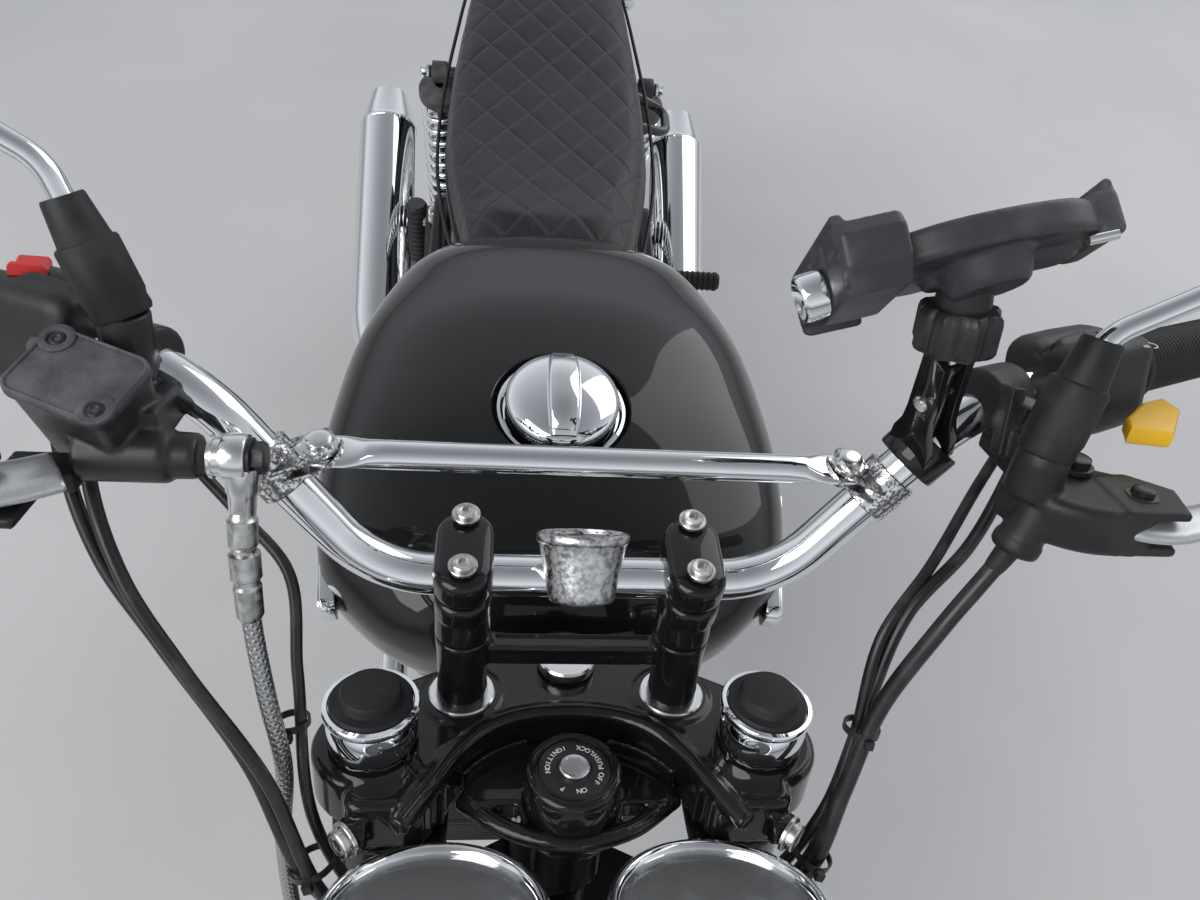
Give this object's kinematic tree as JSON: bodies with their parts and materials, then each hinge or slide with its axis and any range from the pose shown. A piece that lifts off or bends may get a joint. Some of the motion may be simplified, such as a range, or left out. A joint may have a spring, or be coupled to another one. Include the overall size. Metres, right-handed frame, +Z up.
{
  "type": "cafe racer motorcycle",
  "caption": "Classic air-cooled twin-cylinder cafe racer motorcycle with a raised bar, quilted seat and megaphone mufflers, parked upright on its centre stand.",
  "frame": {"origin": "on the ground, midway along the machine and on its centre plane", "axes": "+Z up, the front wheel towards -Y, the rider's left hand towards +X"},
  "size_m": [0.8382, 2.0372, 1.2918],
  "materials": {
    "frame_black": "satin black enamel",
    "gloss_black": "gloss black lacquer",
    "chrome": "polished chrome plate",
    "polished_alloy": "polished",
    "cast_alloy": "cast, bead blasted",
    "steel": "zinc plated",
    "tyre": "matt rubber",
    "rubber": "matt",
    "black_plastic": "fine texture",
    "seat_cover": "quilted leatherette",
    "lens_clear": "clear, fluted",
    "lens_amber": "clear amber",
    "lens_red": "clear red",
    "chain_steel": "oiled"
  },
  "bodies": {
    "chassis": {"frame": "frame_black", "fuel_tank": "gloss_black", "filler_cap": "chrome", "tank_badges": "chrome", "crankcase": "cast_alloy", "cylinders": "cast_alloy", "cylinder_head": "cast_alloy", "engine_covers": "polished_alloy", "carburettors": "cast_alloy", "oil_cooler": "black_plastic", "exhaust_pipes": "chrome", "mufflers": "chrome", "swingarm": "frame_black", "shock_absorbers": "chrome", "seat": "seat_cover", "side_panels": "gloss_black", "rear_fender": "chrome", "tail_lamp": "lens_red", "foot_controls": "frame_black", "pillion_hangers": "frame_black", "drive_chain": "chain_steel", "chain_guard": "gloss_black", "rear_caliper": "frame_black", "lifting_handle": "frame_black"},
    "steering": {"top_yoke": "gloss_black", "lower_yoke": "frame_black", "fork_tubes": "chrome", "fork_legs": "polished_alloy", "fork_caps": "chrome", "front_fender": "chrome", "front_caliper": "frame_black", "headlamp": "gloss_black", "headlamp_lens": "lens_clear", "front_indicators": "lens_amber", "instruments": "black_plastic", "ignition_lock": "black_plastic", "risers": "gloss_black", "handlebar": "chrome", "crossbar": "chrome", "bar_clock": "polished_alloy", "grips": "rubber", "switch_housings": "black_plastic", "brake_master": "black_plastic", "levers": "polished_alloy", "mirrors": "chrome", "phone_holder": "black_plastic", "control_cables": "rubber", "brake_hose": "steel"},
    "front_wheel": {"front_tyre": "tyre", "front_wheel": "chrome"},
    "rear_wheel": {"rear_tyre": "tyre", "rear_wheel": "chrome"},
    "centre_stand": {"centre_stand": "frame_black"},
    "side_stand": {"side_stand": "frame_black"}
  },
  "joints": [
    {"name": "steering", "type": "hinge", "parent": "chassis", "child": "steering", "pos_m": [0, -0.38842, 0.83197], "axis": [0, 0.4384, 0.8988], "range_deg": [-32, 32]},
    {"name": "front_wheel_spin", "type": "hinge", "parent": "steering", "child": "front_wheel", "pos_m": [0, -0.7, 0.3186], "axis": [1, 0, 0], "continuous": true},
    {"name": "rear_wheel_spin", "type": "hinge", "parent": "chassis", "child": "rear_wheel", "pos_m": [0, 0.699, 0.3316], "axis": [1, 0, 0], "continuous": true},
    {"name": "centre_stand_fold", "type": "hinge", "parent": "chassis", "child": "centre_stand", "pos_m": [0, 0.185, 0.198], "axis": [1, 0, 0], "range_deg": [0, 85]},
    {"name": "side_stand_fold", "type": "hinge", "parent": "chassis", "child": "side_stand", "pos_m": [0.128, -0.09, 0.226], "axis": [-0.9602, 0.048, -0.2751], "range_deg": [0, 95]}
  ]
}
